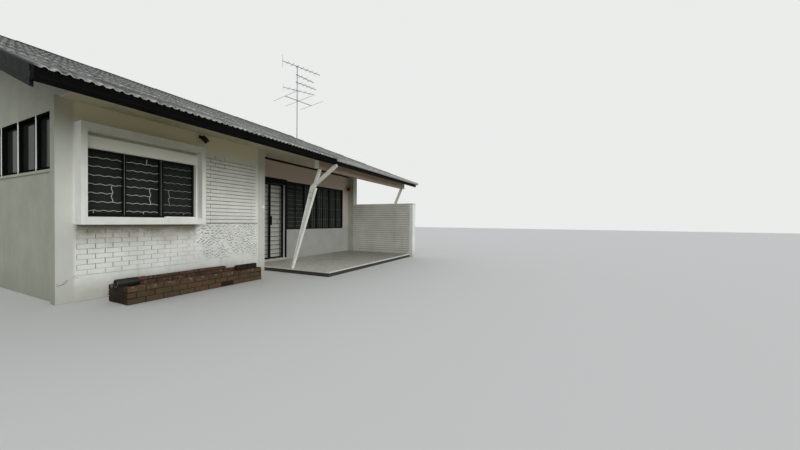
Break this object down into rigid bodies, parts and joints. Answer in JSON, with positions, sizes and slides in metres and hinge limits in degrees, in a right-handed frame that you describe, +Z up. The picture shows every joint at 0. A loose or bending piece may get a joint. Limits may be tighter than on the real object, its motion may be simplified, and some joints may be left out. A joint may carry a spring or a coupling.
{
  "type": "semi-detached house",
  "caption": "Single-storey white house, one half of a pair, with a deep gable roof of corrugated sheets, recessed porch, boxed front window, barred gate and brick planter.",
  "frame": {"origin": "on the ground under the middle of the roof", "axes": "+X along the front from the free end to the party line, +Y from the garden into the house, +Z up"},
  "size_m": [9.3931, 11.43, 7.709],
  "materials": {
    "painted_wall": "white matt masonry paint",
    "side_wall_paint": "greyish white matt masonry paint",
    "floor_concrete": "bare concrete",
    "porch_terrazzo": "speckled terrazzo",
    "soffit_paint": "beige painted board",
    "roof_sheet": "weathered corrugated fibre-cement sheet",
    "verge_paint": "black painted board",
    "gutter_black": "black painted sheet",
    "beam_paint": "beige painted timber",
    "post_paint": "white painted timber, worn",
    "surround_paint": "white painted concrete",
    "shutter_paint": "white painted metal",
    "frame_black": "dark window frame",
    "tinted_glass": "dark tinted glass",
    "gate_black": "black painted steel",
    "door_frame_paint": "off-white painted timber",
    "door_paint": "pale painted timber",
    "brick_red": "weathered red brick",
    "lamp_black": "black enamel",
    "wall_box_red": "faded red paint",
    "aerial_metal": "weathered aluminium"
  },
  "bodies": {
    "house": {"aerial_booms": "aerial_metal", "aerial_mast": "aerial_metal", "aerial_reflectors": "aerial_metal", "ceiling": "soffit_paint", "door_frame": "door_frame_paint", "fascia_boards": "verge_paint", "floor_slab": "floor_concrete", "front_wall_at_window": "painted_wall", "front_wall_piers": "painted_wall", "front_window_frame": "frame_black", "gables": "side_wall_paint", "gate_frame": "gate_black", "gutters": "gutter_black", "party_wall": "painted_wall", "planter": "brick_red", "porch_beam": "beam_paint", "porch_ceiling": "soffit_paint", "porch_party_wall": "painted_wall", "porch_slab": "porch_terrazzo", "porch_wall_head": "painted_wall", "porch_wall_piers": "painted_wall", "porch_wall_sill": "painted_wall", "porch_window_frame": "frame_black", "raking_posts": "post_paint", "rear_wall": "painted_wall", "rear_wall_piers": "painted_wall", "red_wall_box": "wall_box_red", "return_wall": "painted_wall", "ridge_cap": "roof_sheet", "roof_back": "roof_sheet", "roof_front": "roof_sheet", "shutter_box": "shutter_paint", "side_and_rear_frames": "frame_black", "side_coping": "side_wall_paint", "side_wall": "side_wall_paint", "side_wall_pier": "side_wall_paint", "soffits": "soffit_paint", "spot_lamp": "lamp_black", "verge_boards": "verge_paint", "window_glass": "tinted_glass", "window_surround": "surround_paint"},
    "gate_left": {"gate_leaf_left": "gate_black"},
    "gate_right": {"gate_leaf_right": "gate_black"},
    "front_door": {"door_leaf": "door_paint"}
  },
  "joints": [
    {"name": "gate_left_swing", "type": "hinge", "parent": "house", "child": "gate_left", "pos_m": [0.0335, -3.03, 1.18], "axis": [0, 0, -1], "range_deg": [0, 95]},
    {"name": "gate_right_swing", "type": "hinge", "parent": "house", "child": "gate_right", "pos_m": [0.9365, -3.03, 1.18], "axis": [0, 0, 1], "range_deg": [0, 95]},
    {"name": "front_door_swing", "type": "hinge", "parent": "house", "child": "front_door", "pos_m": [0.0335, -2.84, 1.18], "axis": [0, 0, 1], "range_deg": [0, 90]}
  ]
}
